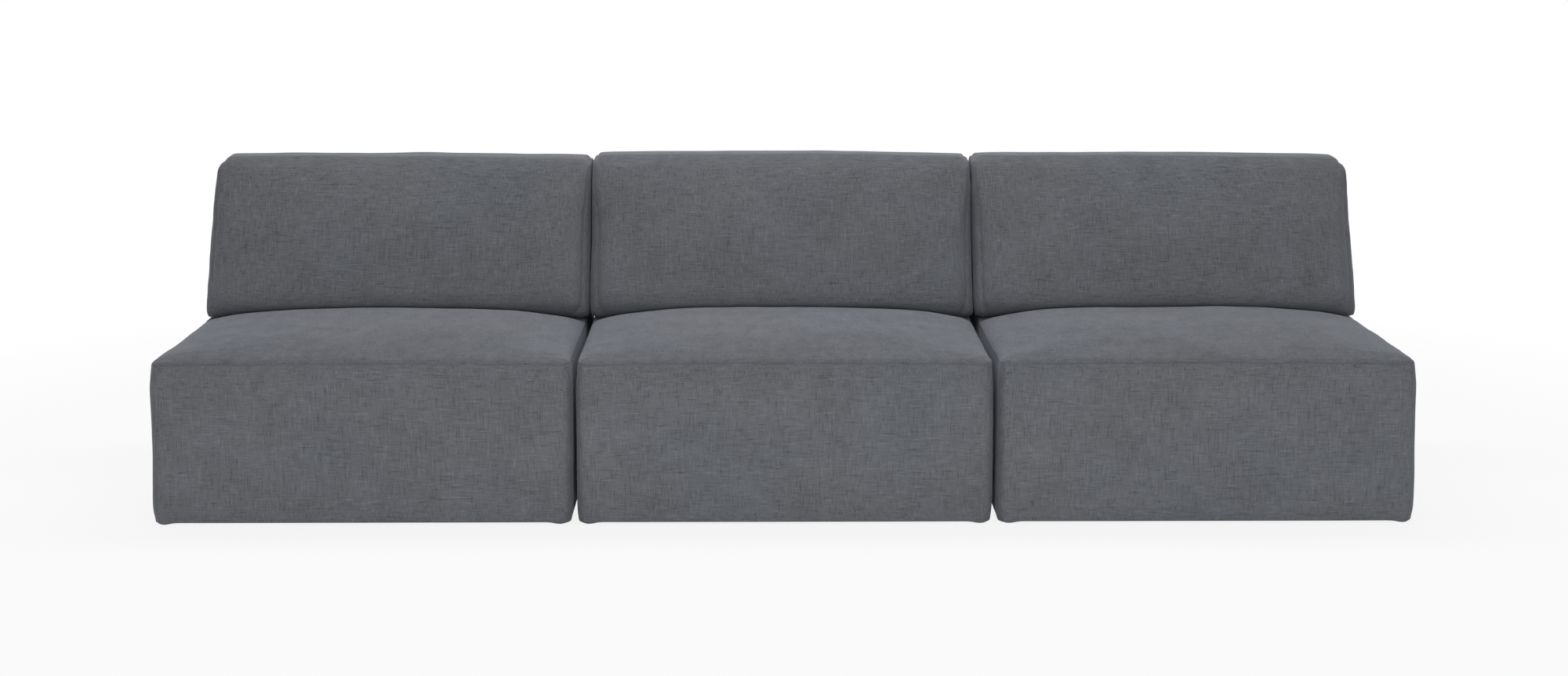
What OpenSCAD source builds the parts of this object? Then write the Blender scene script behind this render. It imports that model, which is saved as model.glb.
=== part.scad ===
// Armless sofa of three separate modules, each a base with its own lift-off back.
// X runs along the sofa, the seat faces -Y and Z is up from the floor, in millimetres.

/* [Modules] */
// Distance from one module's centre to the next
module_pitch = 960; // [880:10:1040]
// Gap between the sides of neighbouring modules where they are fullest
module_gap = 6; // [4:1:12]
// Depth of the seat, from the front to the back's foot
seat_d = 625; // [580:5:660]
// Depth of the back where it stands on the deck
back_d = 325; // [290:5:360]
// Depth of the deck that shows behind the back
back_inset = 10; // [8:1:12]
// Room that soft pieces keep from what they rest on or meet
rest_gap = 0.3; // [0.2:0.1:0.5]

/* [Base cover] */
// Height of the top panel's seam over the deck, mid-front
seam_rise = 4; // [0:1:12]
// How much lower the seam runs at the front corners
seam_dip = 5; // [0:1:8]
// How much lower the side seams run at the rear than at the front
side_fall = 10; // [0:1:14]
// Height of the flat deck under the back, over the floor
deck_h = 372; // [364:2:380]
// Height of the lower edge over the floor
hem_h = 5; // [3:1:7]
// How far the sides draw in at the lower edge
hem_draw = 6; // [4:1:10]
// How far the sides draw in at the seam
seam_draw = 4; // [1:1:5]
// Radius of the upright edges
edge_r = 25; // [18:1:27]
// Fabric and wadding over the frame where the cover is thinnest
cover_t = 11; // [8:1:13]

/* [Seat crown] */
// Rise of the rolled edge inside the seam
roll_h = 16; // [8:1:18]
// Width of the rolled edge
roll_run = 34; // [24:1:44]
// Rise of the crown above the rolled edge
crown_h = 12; // [8:1:20]
// Width of the roll down to the deck in front of the back
rear_run = 40; // [30:1:60]
// Drop of the deck's edges below its middle
deck_roll = 5; // [2:1:7]

/* [Back] */
// Height of the back's top over the floor
back_top = 760; // [720:4:800]
// Depth of the back along its top, before its edges are rounded
crest_d = 150; // [135:1:190]
// Radius of the front lower edge
foot_r = 28; // [27:1:32]
// Radius of the front upper edge
brow_r = 45; // [36:1:50]
// Radius of the rear upper edge
nape_r = 40; // [30:1:44]
// Radius of the rear lower edge
heel_r = 27; // [26:1:30]
// Radius of the edges of both ends
end_r = 24; // [16:1:25]
// Radius of the upper corners, seen from the front
corner_r = 50; // [30:2:60]
// How far the ends swell in their middle
cheek = 4; // [1:1:6]
// Swell of the front face
face_crown = 13; // [6:1:16]
// Swell of the top and of the rear face
top_crown = 4; // [1:1:6]
// Drop of the shoulders at the ends of the top
shoulder_drop = 8; // [0:1:10]
// Length over which the shoulders drop
shoulder_run = 90; // [60:5:120]

/* [Wood] */
// Thickness of the base's plywood panels
panel_t = 18; // [15:1:21]
// Thickness of the seat foam
foam_h = 134; // [110:2:150]
// Side of the corner blocks
block_w = 60; // [50:2:70]
// Height of the corner blocks
block_h = 120; // [80:5:150]
// Thickness of the back's foam
back_foam_t = 55; // [40:1:60]
// Wadding over the back's frame
back_pad = 10; // [8:1:12]
// Wadding over the back's top rail
crest_pad = 28; // [24:1:32]
// Wadding over the ends of the back's frame
end_pad = 46; // [38:1:50]
// Thickness of the back's boards and ribs
rib_t = 18; // [12:1:20]
// Thickness of the panel that closes the back's rear
rear_t = 12; // [9:1:12]

/* [Springs] */
// Number of seat springs in a module
spring_n = 5; // [4:1:6]
// Thickness of the spring wire
wire_t = 4; // [3:0.5:4.5]
// Width of a spring
spring_w = 52; // [40:2:60]
// Number of bars in a spring
spring_bars = 13; // [9:2:17]
// Height of a spring clip
clip_h = 8; // [7:0.5:10]
// Length of a clip along the bar that it holds
clip_l = 22; // [16:1:26]
// Width of the straps behind the back's foam
strap_w = 60; // [40:2:70]
// Thickness of the straps
strap_t = 2.5; // [1.5:0.5:3]
// Number of straps
strap_n = 4; // [3:1:4]

/* [Glides] */
// Height of a glide
glide_h = 8; // [8:0.5:10]
// Radius of a glide
glide_r = 20; // [14:1:22]
// Radius of a glide's nail
nail_r = 2; // [1.5:0.5:3]
// Length of a glide's nail over its pad
nail_l = 26; // [18:1:30]
// Thickness of the dust cover under the base
dust_t = 1; // [0.8:0.1:1.5]

/* [Links] */
// Distance of a link's plate behind the panel that stands under the seat's rear
link_gap = 26; // [5:1:60]
// Height of the middle of a jaw over the floor
link_h = 38; // [36:1:42]
// Width of a jaw
jaw_w = 28; // [24:1:32]
// Thickness of a jaw
jaw_t = 16; // [12:1:18]
// Length of the mouth past the pin
mouth_l = 8; // [6:1:9]
// Radius of the pin that a jaw holds
pin_r = 5; // [4:0.5:6]
// Play between pin and jaw
pin_play = 0.5; // [0.4:0.1:0.8]
// Thickness of the steel plates and lugs
plate_t = 4; // [3:0.5:5]
// Width and height of a link's plate
plate_w = 80; // [72:2:90]
// Room round a jaw in the notch that it passes
notch_gap = 12; // [8:1:14]

/* [Back brackets] */
// Distance of a bracket from the module's middle
tongue_x = 300; // [240:5:340]
// Width of a tongue
tongue_w = 40; // [30:2:50]
// Thickness of a tongue
tongue_t = 5; // [4:0.5:6]
// Length of a tongue below the back
tongue_drop = 82; // [70:1:90]
// Length of a tongue inside the back
tongue_rise = 110; // [80:5:140]
// Room of a tongue in its socket, each way
tongue_play = 0.5; // [0.4:0.1:1]
// Wall of a socket
socket_t = 3; // [2:0.5:4]
// Height of a socket
socket_h = 70; // [60:1:80]

/* [Hidden] */
SIDES = ["left", "middle", "right"];
BASE_PIECES = [
    "seat_cover", "seat_foam", "seat_springs", "spring_clips", "side_panels", "cross_panels",
    "deck_board", "corner_blocks", "glides", "dust_cover", "links", "back_sockets"
];
BACK_PIECES = [
    "back_cover", "back_foam", "back_webbing", "back_ribs", "back_base_board", "back_top_rail",
    "back_panel", "back_tongues"
];

// Overrun of every cut past the face that it opens
cut = 1;
// Facets of a full circle
$fn = 48;

// Shares of the edge radius at which lines of the base's form run
edge_shares = [0, 0.35, 1];
// Shares of the half width for the lines between the edges
width_shares = [0.86, 0.62, 0.32];
// Shares of the seat's depth for the lines across it
seat_shares = [0.12, 0.26, 0.48, 0.72, 0.86];
// Shares of the rear roll for the lines across it
rear_shares = [0.55, 0.22, 0.08];
// Share of the seat's depth over which the crown rises
crown_share = 0.5;
// Width of the step down at the crease, as a share of the rear roll
crease_share = 0.02;
// Share of its height that the crown loses at the back's foot
rear_drop_share = 0.5;
// Heights of the rings of the sides, as shares of the height from hem to seam
ring_shares = [0.96, 0.82, 0.5, 0.12, 0.04, 0];
// How far each ring draws in, as shares of the seam's draw and then of the hem's
seam_draw_shares = [0.5, 0.15, 0, 0, 0, 0];
hem_draw_shares = [0, 0, 0, 0.2, 0.6, 1];
// Turn of the section round a back's end, as shares of a right angle
turn_shares = [1, 0.67, 0.33, 0];
// Places of the back's other sections, as shares of its half width
station_shares = [0.9, 0.78, 0.5, 0.2];
// Places along the back's front face and its shorter faces
face_shares = [0.25, 0.5, 0.75];
top_shares = [0.33, 0.67];
// Power of the seam's curve, of the crown's fall to the sides and of the shoulders
seam_power = 3;
crown_power = 4;
right_angle = 90;
half_share = 0.5;

base_d = seat_d + back_d + back_inset;
seam_h = deck_h + seam_rise;
half_w = (module_pitch - module_gap) / 2;
half_d = base_d / 2;
top_w = half_w - seam_draw;
top_d = half_d - seam_draw;
seat_y = seat_d - half_d;
crease_w = crease_share * rear_run;

// The frame stands inside the cover by its thinnest fabric
frame_w = half_w - hem_draw - cover_t;
frame_d = half_d - hem_draw - cover_t;
frame_z = glide_h + dust_t + 2 * rest_gap;
mid_y = seat_y + cover_t;
foam_top = seam_h - cover_t;
foam_z = foam_top - foam_h;
seat_rail_z = foam_z - rest_gap;
clip_z = seat_rail_z - clip_h;
deck_top = deck_h - cover_t;
deck_z = deck_top - panel_t;
inner_w = frame_w - panel_t;
inner_d = frame_d - panel_t;
clip_w = clip_h * 2;
glide_x = inner_w - block_w / 2;
glide_y = inner_d - block_w / 2;
link_y = mid_y + panel_t + link_gap + plate_w / 2;
notch_w = jaw_w + 2 * notch_gap;
notch_top = link_h + jaw_t / 2 + notch_gap;
lug_gap = jaw_t / 8;
plate_z = frame_z + plate_t;
socket_d = tongue_t + 2 * tongue_play + 2 * socket_t;
tongue_y = inner_d - socket_t - tongue_play;
slit_w = tongue_w + 2 * tongue_play;
slit_d = tongue_t + 2 * tongue_play;

// The back's section: its rounded corners and the line of its front face
back_z = deck_h + rest_gap;
back_rear = half_d - back_inset;
back_half = half_w - cheek;
foot = [seat_y + rest_gap + foot_r, back_z + foot_r];
reach = [back_rear - crest_d, back_top] - foot;
back_lean = atan(reach[0] / reach[1]) + asin(foot_r / norm(reach));
face_k = -cos(back_lean) * foot[0] + sin(back_lean) * foot[1] + foot_r;
brow = [face_y(brow_r, back_top - brow_r), back_top - brow_r];
nape = [back_rear - nape_r, back_top - nape_r];
heel = [back_rear - heel_r, back_z + heel_r];
back_inner_w = half_w - end_pad;
board_z = back_z + back_pad;
rib_z = board_z + rib_t + rest_gap;
crest_z = back_top - crest_pad;
rear_y = tongue_y;
strap_o = back_pad + back_foam_t + rest_gap;
rib_o = strap_o + strap_t + rest_gap;

// Which sides of a module meet a neighbour
function meets(m) = m == 0 ? [1] : m == 1 ? [-1, 1] : [-1];
// Quarter-round rise from 0 to 1 over a run
function roll(d, run) = sqrt(1 - pow(1 - min(d, run) / run, 2));
function flip(list) = [for (i = [len(list) - 1 : -1 : 0]) list[i]];

// Lines of the base's form, drawn in by an inset
function near_edge(half, inset) = [for (s = edge_shares) half - inset - s * edge_r];
function half_lines(inset) = concat(near_edge(half_w, inset), [for (s = width_shares) s * half_w]);
function x_lines(inset) = concat([for (x = half_lines(inset)) -x], [0], flip(half_lines(inset)));
function y_lines(inset) = concat(
    [for (y = near_edge(half_d, inset)) -y],
    [for (s = seat_shares) s * seat_d - half_d],
    [for (s = rear_shares) seat_y - crease_w - s * rear_run],
    [seat_y - crease_w, seat_y],
    flip(near_edge(half_d, inset))
);
// A point of the plan, with square corners pulled in to the edge radius
function plan(x, y, inset) =
    let (
        a = half_w - inset - edge_r,
        b = half_d - inset - edge_r,
        qx = max(0, abs(x) - a),
        qy = max(0, abs(y) - b),
        n = norm([qx, qy]),
        m = n > 0 ? max(qx, qy) / n : 1
    )
    [sign(x) * (min(abs(x), a) + qx * m), sign(y) * (min(abs(y), b) + qy * m)];

// Height of the top panel's seam, of the crowned seat and of the deck
function seam_z(x, y) =
    seam_h - (seam_dip + side_fall * (y + top_d) / base_d) * pow(abs(x) / top_w, seam_power);
function seat_z(x, y) =
    let (
        side = top_w - abs(x),
        front = y + top_d,
        rise = 1 - pow(1 - min(1, front / (crown_share * seat_d)), 2),
        crown = crown_h * (1 - pow(abs(x) / top_w, crown_power)) * rise,
        rear = 1 - roll(seat_y - crease_w - y, rear_run)
    )
    seam_z(x, y) + roll(min(side, front), roll_run) * (roll_h + crown) * (1 - rear_drop_share * rear);
function rear_z(x, y) = deck_h - deck_roll * (1 - roll(min(top_w - abs(x), top_d - y), roll_run));
function top_z(x, y) = y < seat_y ? seat_z(x, y) : rear_z(x, y);

// Base form: a grid over the top, rings down the sides and a flat underside
module base_form() {
    xs = x_lines(seam_draw);
    ys = y_lines(seam_draw);
    nx = len(xs);
    ny = len(ys);
    top = [for (y = ys) for (x = xs) concat(plan(x, y, seam_draw), top_z(x, y))];
    rim = concat(
        [for (i = [0 : nx - 1]) [i, 0]],
        [for (j = [1 : ny - 1]) [nx - 1, j]],
        [for (i = [nx - 2 : -1 : 0]) [i, ny - 1]],
        [for (j = [ny - 2 : -1 : 1]) [0, j]]
    );
    nr = len(rim);
    rings = [for (k = [0 : len(ring_shares) - 1])
        let (
            inset = seam_draw * seam_draw_shares[k] + hem_draw * hem_draw_shares[k],
            rx = x_lines(inset),
            ry = y_lines(inset)
        )
        for (r = rim)
            let (z = top[r[1] * nx + r[0]][2])
            concat(plan(rx[r[0]], ry[r[1]], inset), hem_h + (z - hem_h) * ring_shares[k])];
    // Index of point b of ring k, where ring 0 is the grid's own rim
    function at(k, b) =
        let (r = rim[b % nr]) k == 0 ? r[1] * nx + r[0] : nx * ny + (k - 1) * nr + b % nr;
    last = len(ring_shares);
    middle = nx * ny + last * nr;
    over = [for (j = [0 : ny - 2]) for (i = [0 : nx - 2])
        let (a = j * nx + i, b = a + nx)
        each [[a, b, b + 1], [a, b + 1, a + 1]]];
    down = [for (k = [0 : last - 1]) for (b = [0 : nr - 1])
        each [[at(k, b), at(k, b + 1), at(k + 1, b + 1)], [at(k, b), at(k + 1, b + 1), at(k + 1, b)]]];
    under = [for (b = [0 : nr - 1]) [at(last, b), at(last, b + 1), middle]];
    polyhedron(concat(top, rings, [[0, 0, hem_h]]), concat(over, down, under));
}

// Depth at which the back's front face, moved in by o, stands at height z
function face_y(o, z) = (sin(back_lean) * z - face_k + o) / cos(back_lean);
function between(a, b, s) = a + (b - a) * s;
// Points round a corner, with the radius less an inset
function bend(centre, r, from, to, inset) =
    [for (i = [0 : 3]) let (t = from + (to - from) * i / 3) centre + (r - inset) * [cos(t), sin(t)]];
// Points along a face, swelling out of it by crown
function swell(a, b, shares, crown) =
    let (along = (b - a) / norm(b - a), out = [-along[1], along[0]])
    [for (s = shares) between(a, b, s) + out * crown * s * (1 - s) * 4];
function section(inset, fill) =
    let (
        c1 = bend(foot, foot_r, 3 * right_angle, 2 * right_angle - back_lean, inset),
        c2 = bend(brow, brow_r, 2 * right_angle - back_lean, right_angle, inset),
        c3 = bend(nape, nape_r, right_angle, 0, inset),
        c4 = bend(heel, heel_r, 0, -right_angle, inset)
    )
    concat(
        c1, swell(c1[3], c2[0], face_shares, face_crown * fill),
        c2, swell(c2[3], c3[0], top_shares, top_crown * fill),
        c3, swell(c3[3], c4[0], top_shares, top_crown * fill), c4
    );
// A section stands at x, with its upper corners rounded and its shoulders dropped near the ends
function stand(x, pts) =
    let (
        e = max(0, abs(x) - half_w + shoulder_run) / shoulder_run,
        qx = max(0, abs(x) - half_w + corner_r)
    )
    [for (p = pts)
        let (
            h = max(0, (p[1] - back_z) / (back_top - back_z)),
            qz = max(0, p[1] - back_top + corner_r),
            n = norm([qx, qz]),
            m = n > 0 ? max(qx, qz) / n : 1
        )
        [
            sign(x) * (abs(x) - qx + qx * m),
            p[0],
            p[1] - qz + qz * m - shoulder_drop * e * e * pow(h, crown_power)
        ]];
function turned(t) = [back_half - end_r * (1 - sin(t)), end_r * (1 - cos(t))];

// Back form: sections along X, drawn in round both ends
module back_form() {
    ends = [for (s = turn_shares) turned(s * right_angle)];
    half = concat(
        [for (e = ends) stand(e[0], section(e[1], 0))],
        [for (s = station_shares) stand(s * half_w, section(0, 1 - pow(s, crown_power)))]
    );
    mirrored = [for (pts = half) [for (p = pts) [-p[0], p[1], p[2]]]];
    stations = concat(mirrored, [stand(0, section(0, 1))], flip(half));
    m = len(stations[0]);
    n = len(stations);
    hub = [half_share * (foot[0] + heel[0]), half_share * (foot[1] + brow[1])];
    ring = [for (i = [0 : n - 2]) for (j = [0 : m - 1])
        let (a = i * m + j, b = i * m + (j + 1) % m)
        each [[a, b, b + m], [a, b + m, a + m]]];
    caps = [for (j = [0 : m - 1])
        each [[(j + 1) % m, j, n * m], [(n - 1) * m + j, (n - 1) * m + (j + 1) % m, n * m + 1]]];
    polyhedron(
        concat([for (s = stations) each s], [concat(-half_w, hub), concat(half_w, hub)]),
        concat(ring, caps)
    );
}

module place(m) { translate([(m - 1) * module_pitch, 0, 0]) children(); }
// Box between two corners
module block(lo, hi) { translate(lo) cube(hi - lo); }
// Each of a module's four lower corners
module each_corner() {
    for (x = [-1, 1], y = [-1, 1]) translate([x * glide_x, y * glide_y, 0]) children();
}
// Each link of module m, in front of and behind the middle, turned so that +X is the side that it serves
module each_link(m) {
    for (s = meets(m), y = [-1, 1]) translate([0, y * link_y, 0]) mirror([s < 0 ? 1 : 0, 0, 0]) children();
}
// Each of a module's two back brackets
module each_bracket() { for (s = [-1, 1]) translate([s * tongue_x, 0, 0]) children(); }
module notch() { block([inner_w - cut, -notch_w / 2, -cut], [half_w + cut, notch_w / 2, notch_top]); }
// Slit for a tongue, from one height to another
module slit(lo, hi) {
    translate([-slit_w / 2, tongue_y - tongue_t - tongue_play, lo]) cube([slit_w, slit_d, hi - lo]);
}

module seat_cover(m) {
    color("slategray") difference() {
        base_form();
        block(
            [-frame_w - rest_gap, -frame_d - rest_gap, -cut],
            [frame_w + rest_gap, mid_y, foam_top + rest_gap]
        );
        block(
            [-frame_w - rest_gap, mid_y - cut, -cut],
            [frame_w + rest_gap, frame_d + rest_gap, deck_top + rest_gap]
        );
        each_link(m) notch();
        each_bracket() slit(deck_z, deck_h + cut);
    }
}
module seat_foam() {
    color("khaki") block([-frame_w, -frame_d, foam_z], [frame_w, mid_y - rest_gap, foam_top]);
}

// Centre line of a spring: bars across, joined at alternate ends by bevelled turns
spring_from = panel_t / 2 - frame_d;
spring_to = mid_y - clip_w / 2;
bar_gap = (spring_to - spring_from) / (spring_bars - 1);
bevel = bar_gap / 4;
spring_side = (spring_w - wire_t) / 2;
function bar(k) =
    let (s = k % 2 == 0 ? 1 : -1, y = k * bar_gap)
    concat(
        k == 0 ? [[-s * spring_side, y]] : [[-s * spring_side, y - bevel], [-s * (spring_side - bevel), y]],
        k == spring_bars - 1 ? [[s * spring_side, y]]
            : [[s * (spring_side - bevel), y], [s * spring_side, y + bevel]]
    );
spring_line = [for (k = [0 : spring_bars - 1]) each bar(k)];
// Unit normal of the stretch that starts at point i
function normal(i) =
    let (d = spring_line[i + 1] - spring_line[i]) [-d[1], d[0]] / norm(d);
function edge_point(i, side) =
    let (
        a = normal(max(0, i - 1)),
        b = normal(min(len(spring_line) - 2, i))
    )
    spring_line[i] + side * wire_t / 2 * (a + b) / (1 + a * b);
module spring() {
    n = len(spring_line) - 1;
    linear_extrude(wire_t) polygon(concat(
        [for (i = [0 : n]) edge_point(i, 1)],
        [for (i = [n : -1 : 0]) edge_point(i, -1)]
    ));
}
// Each spring's place across the seat
module each_spring() {
    step = 2 * inner_w / (spring_n + 1);
    for (i = [1 : spring_n]) translate([i * step - inner_w, spring_from, clip_z]) children();
}
module seat_springs() {
    color("dimgray") each_spring() translate([0, 0, (clip_h - wire_t) / 2]) spring();
}
module clip() {
    hole = wire_t + 2 * rest_gap;
    difference() {
        translate([-clip_l / 2, -clip_w / 2, 0]) cube([clip_l, clip_w, clip_h]);
        translate([-clip_l / 2 - cut, -hole / 2, (clip_h - hole) / 2])
            cube([clip_l + 2 * cut, hole, hole]);
    }
}
module spring_clips() {
    color("gainsboro") each_spring() {
        clip();
        translate([0, spring_to - spring_from, 0]) clip();
    }
}

module side_panels(m) {
    color("burlywood") difference() {
        for (s = [-1, 1]) translate([s > 0 ? inner_w : -frame_w, 0, 0]) {
            block([0, -frame_d, frame_z], [panel_t, frame_d, seat_rail_z]);
            block([0, mid_y, frame_z], [panel_t, frame_d, deck_z]);
        }
        each_link(m) notch();
    }
}
module cross_panels() {
    color("tan") {
        block([-inner_w, -frame_d, frame_z], [inner_w, -inner_d, clip_z]);
        block([-inner_w, mid_y, frame_z], [inner_w, mid_y + panel_t, deck_z]);
        block([-inner_w, inner_d, frame_z], [inner_w, frame_d, deck_z]);
    }
}
module deck_board() {
    color("burlywood") difference() {
        block([-frame_w, mid_y, deck_z], [frame_w, frame_d, deck_top]);
        each_bracket() slit(deck_z - cut, deck_top + cut);
    }
}
module corner_blocks() {
    color("peru") each_corner() difference() {
        translate([-block_w / 2, -block_w / 2, frame_z]) cube([block_w, block_w, block_h]);
        translate([0, 0, frame_z - cut]) cylinder(r = nail_r + rest_gap, h = nail_l + cut);
    }
}
module glides() {
    color("black") each_corner() {
        cylinder(r = glide_r, h = glide_h);
        cylinder(r = nail_r, h = glide_h + nail_l);
    }
}
module dust_cover() {
    z = glide_h + rest_gap;
    color("darkslategray") difference() {
        block([-frame_w, -frame_d, z], [frame_w, frame_d, z + dust_t]);
        each_corner() translate([0, 0, z - cut]) cylinder(r = nail_r + rest_gap, h = dust_t + 2 * cut);
    }
}

// Jaw on the middle module: a plate inside the panel and an arm that reaches the neighbour's pin
module jaw() {
    pin_x = module_pitch - frame_w;
    block([inner_w - plate_t, -plate_w / 2, plate_z], [inner_w, plate_w / 2, plate_z + plate_w]);
    difference() {
        block(
            [inner_w - plate_t, -jaw_w / 2, link_h - jaw_t / 2],
            [pin_x + mouth_l, jaw_w / 2, link_h + jaw_t / 2]
        );
        translate([pin_x, 0, 0]) {
            cylinder(r = pin_r + pin_play, h = link_h + jaw_t);
            block([0, -pin_r - pin_play, 0], [mouth_l + cut, pin_r + pin_play, link_h + jaw_t]);
        }
    }
}
// Pin bracket on an outer module: a plate inside the panel and two lugs that hold the pin upright
module pin_bracket() {
    low = link_h - jaw_t / 2 - lug_gap - plate_t;
    high = link_h + jaw_t / 2 + lug_gap;
    block([inner_w - plate_t, -plate_w / 2, plate_z], [inner_w, plate_w / 2, plate_z + plate_w]);
    for (z = [low, high])
        block([inner_w - plate_t, -jaw_w / 2, z], [frame_w + pin_r + plate_t, jaw_w / 2, z + plate_t]);
    translate([frame_w, 0, low]) cylinder(r = pin_r, h = high - low + plate_t);
}
module links(m) {
    color("silver") each_link(m) {
        if (m == 1) jaw();
        else pin_bracket();
    }
}
module back_sockets() {
    z = deck_z - rest_gap;
    color("silver") each_bracket() difference() {
        block(
            [-slit_w / 2 - socket_t, inner_d - socket_d, z - socket_h],
            [slit_w / 2 + socket_t, inner_d, z]
        );
        slit(z - socket_h - cut, z + cut);
    }
}

// Hollow of the back's cover, with the foot's corner cut off
module back_hollow(room) {
    translate([-back_inner_w - room, 0, 0]) rotate([right_angle, 0, right_angle])
        linear_extrude(2 * (back_inner_w + room)) polygon([
            [foot[0] - room, board_z - room],
            [face_y(back_pad - room, rib_z), rib_z - room],
            [face_y(back_pad - room, crest_z), crest_z + room],
            [rear_y + rear_t + room, crest_z + room],
            [rear_y + rear_t + room, board_z - room]
        ]);
}
module back_cover() {
    color("slategray") difference() {
        back_form();
        back_hollow(rest_gap);
        each_bracket() slit(back_z - cut, board_z);
    }
}
// Upright prism of a section drawn in Y and Z, centred on x
module prism(x, w, pts) {
    translate([x - w / 2, 0, 0]) rotate([right_angle, 0, right_angle]) linear_extrude(w) polygon(pts);
}
module back_foam() {
    deep = back_pad + back_foam_t;
    color("khaki") prism(0, 2 * back_inner_w, [
        [face_y(back_pad, rib_z), rib_z],
        [face_y(back_pad, crest_z), crest_z],
        [face_y(deep, crest_z), crest_z],
        [face_y(deep, rib_z), rib_z]
    ]);
}
module back_webbing() {
    step = (crest_z - rib_t - rib_z) / (strap_n * cos(back_lean));
    color("dimgray") translate([0, face_y(strap_o, rib_z), rib_z]) rotate([-back_lean, 0, 0])
        for (i = [0 : strap_n - 1])
            translate([-back_inner_w, 0, (i + half_share) * step - strap_w / 2])
                cube([2 * back_inner_w, strap_t, strap_w]);
}
module back_ribs() {
    top = crest_z - rib_t;
    color("burlywood") for (s = [-1, 0, 1]) prism(s * (back_inner_w - rib_t / 2), rib_t, [
        [face_y(rib_o, rib_z), rib_z],
        [face_y(rib_o, top), top],
        [rear_y, top],
        [rear_y, rib_z]
    ]);
}
module back_base_board() {
    color("tan") difference() {
        block([-back_inner_w, foot[0], board_z], [back_inner_w, rear_y, board_z + rib_t]);
        each_bracket() slit(board_z - cut, board_z + rib_t + cut);
    }
}
module back_top_rail() {
    color("tan") block([-back_inner_w, face_y(rib_o, crest_z), crest_z - rib_t], [back_inner_w, rear_y, crest_z]);
}
module back_panel() {
    color("burlywood") block([-back_inner_w, rear_y, board_z], [back_inner_w, rear_y + rear_t, crest_z]);
}
module back_tongues() {
    color("silver") each_bracket() block(
        [-tongue_w / 2, tongue_y - tongue_t, back_z - tongue_drop],
        [tongue_w / 2, tongue_y, back_z + tongue_rise]
    );
}

for (m = [0 : 2]) {
    s = SIDES[m];
    place(m) seat_cover(m);
    place(m) seat_foam();
    place(m) seat_springs();
    place(m) spring_clips();
    place(m) side_panels(m);
    place(m) cross_panels();
    place(m) deck_board();
    place(m) corner_blocks();
    place(m) glides();
    place(m) dust_cover();
    place(m) links(m);
    place(m) back_sockets();
    place(m) back_cover();
    place(m) back_foam();
    place(m) back_webbing();
    place(m) back_ribs();
    place(m) back_base_board();
    place(m) back_top_rail();
    place(m) back_panel();
    place(m) back_tongues();
}
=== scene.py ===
# Armless sofa of three upholstered modules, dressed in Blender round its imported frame.
import math

import bmesh
import bpy
import numpy as np
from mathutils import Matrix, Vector, noise


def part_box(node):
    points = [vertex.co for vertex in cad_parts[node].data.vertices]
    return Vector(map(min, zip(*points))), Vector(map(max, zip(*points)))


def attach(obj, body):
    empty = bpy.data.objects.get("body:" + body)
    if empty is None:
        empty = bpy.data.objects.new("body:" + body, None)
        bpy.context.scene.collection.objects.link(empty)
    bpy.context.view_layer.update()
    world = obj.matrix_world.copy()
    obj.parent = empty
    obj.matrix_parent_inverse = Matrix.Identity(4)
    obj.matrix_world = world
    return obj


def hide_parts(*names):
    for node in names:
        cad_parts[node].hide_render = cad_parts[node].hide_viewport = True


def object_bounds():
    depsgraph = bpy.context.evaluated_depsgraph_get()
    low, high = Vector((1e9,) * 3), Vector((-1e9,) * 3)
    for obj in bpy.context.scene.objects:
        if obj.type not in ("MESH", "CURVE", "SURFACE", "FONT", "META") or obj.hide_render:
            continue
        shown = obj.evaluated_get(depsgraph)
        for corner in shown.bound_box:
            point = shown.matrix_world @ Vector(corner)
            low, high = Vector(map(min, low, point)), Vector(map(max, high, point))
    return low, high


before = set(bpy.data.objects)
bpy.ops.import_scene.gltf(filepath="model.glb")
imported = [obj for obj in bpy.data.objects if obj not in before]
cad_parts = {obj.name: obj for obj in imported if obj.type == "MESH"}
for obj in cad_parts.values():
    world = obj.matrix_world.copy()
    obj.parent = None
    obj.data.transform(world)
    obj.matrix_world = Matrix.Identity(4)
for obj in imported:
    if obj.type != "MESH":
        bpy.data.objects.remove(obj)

cadLow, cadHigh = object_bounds()
moduleNames = ["left", "middle", "right"]


# Camera

# The lens is given as a focal length in pixels of a 2000 pixel wide frame
cameraView = {
    "frameWidth": 2000,
    "focalLength": 3432,
    "sensorWidth": 36,
    "distance": 5.984,  # from the front of the seats
    "height": 1.433,
    "side": -0.059,
    "pitch": 9.49,
    "yaw": 0.55,
}


def makeCamera():
    view = cameraView
    data = bpy.data.cameras.new("camera")
    data.sensor_width = view["sensorWidth"]
    data.lens = view["focalLength"] / view["frameWidth"] * view["sensorWidth"]
    camera = bpy.data.objects.new("camera", data)
    bpy.context.scene.collection.objects.link(camera)
    camera.location = (view["side"], cadLow.y - view["distance"], view["height"])
    camera.rotation_euler = (math.radians(90 - view["pitch"]), 0, math.radians(-view["yaw"]))
    bpy.context.scene.camera = camera


makeCamera()
print("camera placed")


# Materials

def linearColour(hexColour):
    channels = [int(hexColour[i:i + 2], 16) / 255 for i in (1, 3, 5)]
    return tuple(c / 12.92 if c <= 0.04045 else ((c + 0.055) / 1.055) ** 2.4 for c in channels) + (1,)


def addNode(tree, kind, settings=None, inputs=None):
    node = tree.nodes.new(kind)
    for key, value in (settings or {}).items():
        setattr(node, key, value)
    for key, value in (inputs or {}).items():
        if isinstance(value, bpy.types.NodeSocket):
            tree.links.new(value, node.inputs[key])
        else:
            node.inputs[key].default_value = value
    return node


def startMaterial(name):
    material = bpy.data.materials.new(name)
    material.use_nodes = True
    tree = material.node_tree
    tree.nodes.clear()
    return material, tree


def finishMaterial(tree, settings):
    shader = addNode(tree, "ShaderNodeBsdfPrincipled", inputs=settings)
    addNode(tree, "ShaderNodeOutputMaterial", inputs={"Surface": shader.outputs["BSDF"]})


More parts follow.
